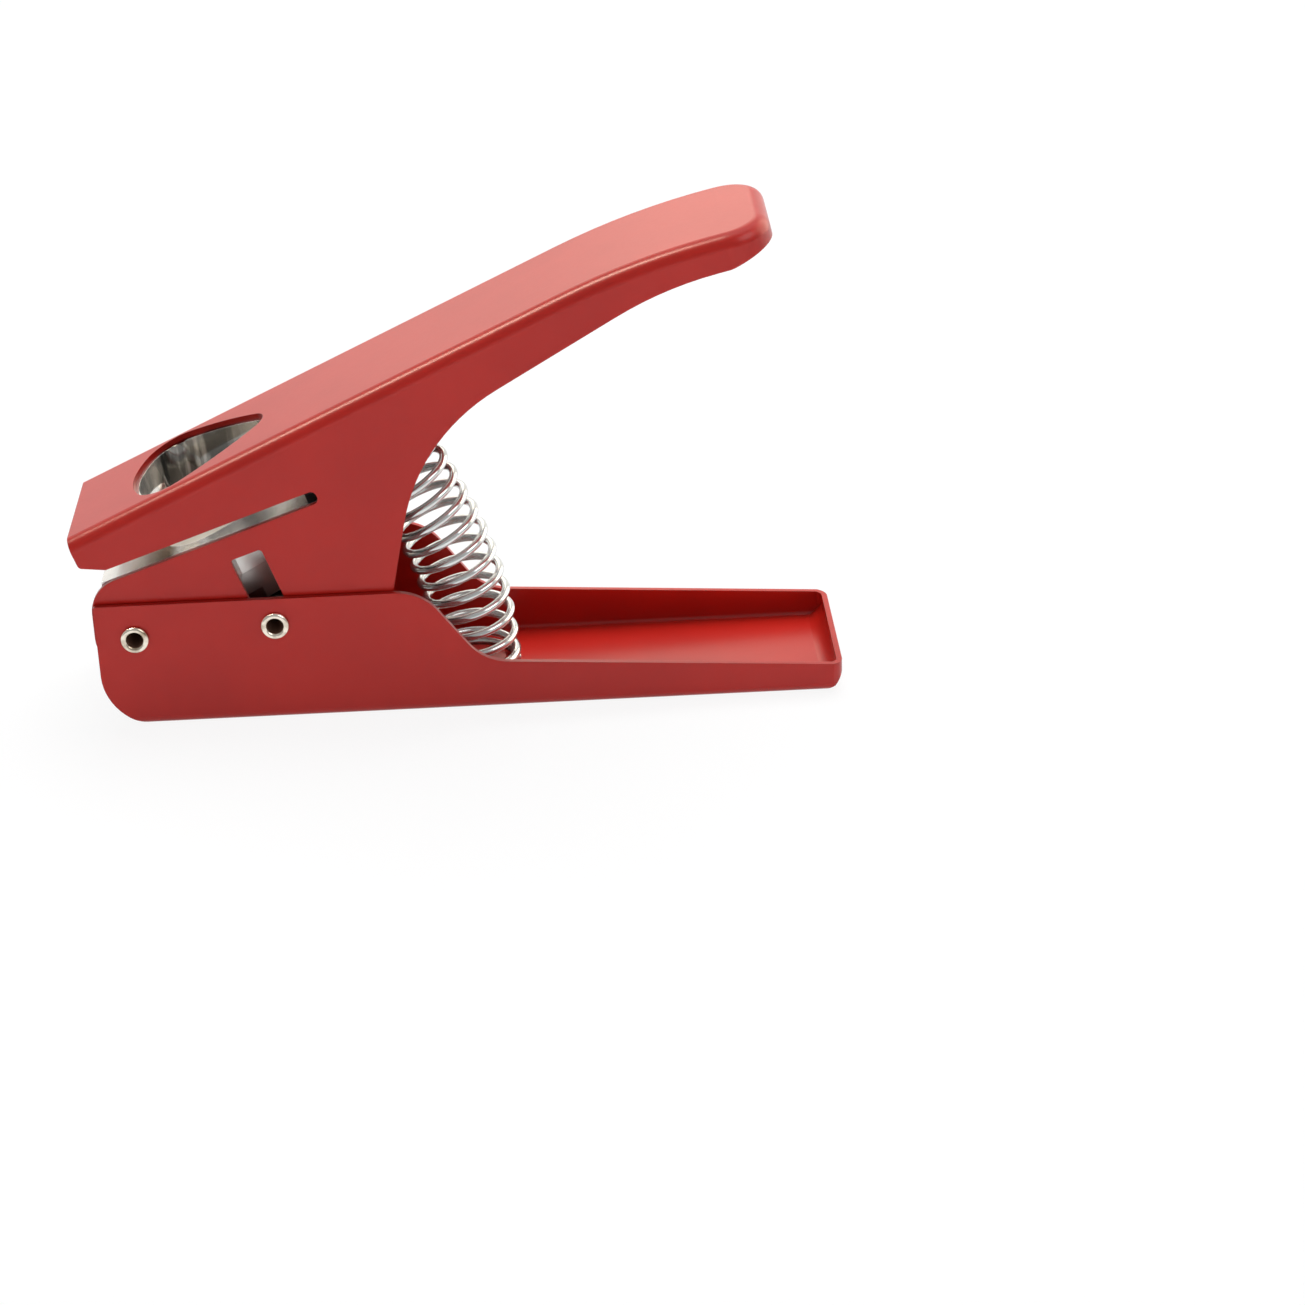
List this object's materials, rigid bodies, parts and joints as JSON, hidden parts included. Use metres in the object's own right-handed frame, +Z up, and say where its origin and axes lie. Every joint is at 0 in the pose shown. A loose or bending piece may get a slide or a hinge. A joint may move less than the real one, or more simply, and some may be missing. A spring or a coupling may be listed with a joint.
{
  "type": "guitar pick punch",
  "caption": "Hand punch with a sprung red sheet-metal lever that pushes a pick-shaped punch through a strip held in its slot, on a tray base.",
  "frame": {"origin": "on the underside of the base, in the middle of the base's length and width", "axes": "+X along the base towards the grip and the tray's rear end, +Z up, +Y across the base, along the pins"},
  "size_m": [0.161, 0.04, 0.1035],
  "materials": {
    "red_paint": "satin red powder coat on steel sheet",
    "nickel_plate": "bright nickel plate on steel",
    "steel": "plain machined steel",
    "zinc_wire": "bright zinc-plated spring wire"
  },
  "bodies": {
    "base": {"base_channel": "red_paint", "pivot_rivet": "nickel_plate", "pivot_sleeve": "steel", "drive_rivet": "nickel_plate", "drive_sleeve": "steel", "spring_post": "red_paint", "return_spring": "zinc_wire"},
    "lever": {"lever_shell": "red_paint", "die_plate": "nickel_plate", "strip_stop": "steel", "guide_block": "nickel_plate", "die_screws": "steel", "dowel_pins": "steel", "spring_seat": "steel"},
    "punch": {"punch": "nickel_plate", "punch_yoke": "nickel_plate", "punch_screws": "steel"}
  },
  "joints": [
    {"name": "lever_hinge", "type": "hinge", "parent": "base", "child": "lever", "pos_m": [-0.0704, 0, 0.0203], "axis": [0, 1, 0], "range_deg": [0, 25], "stiffness_Nm_per_rad": 0.9, "springref_deg": -20.05, "deforming": ["return_spring"]},
    {"name": "punch_slide", "type": "slide", "parent": "lever", "child": "punch", "axis": [-0.3338, 0, 0.9426], "range_m": [0, 0.0128]}
  ],
  "couplings": [
    {"joint": "punch_slide", "follows": "lever_hinge", "m_per_rad": 0.029155}
  ]
}
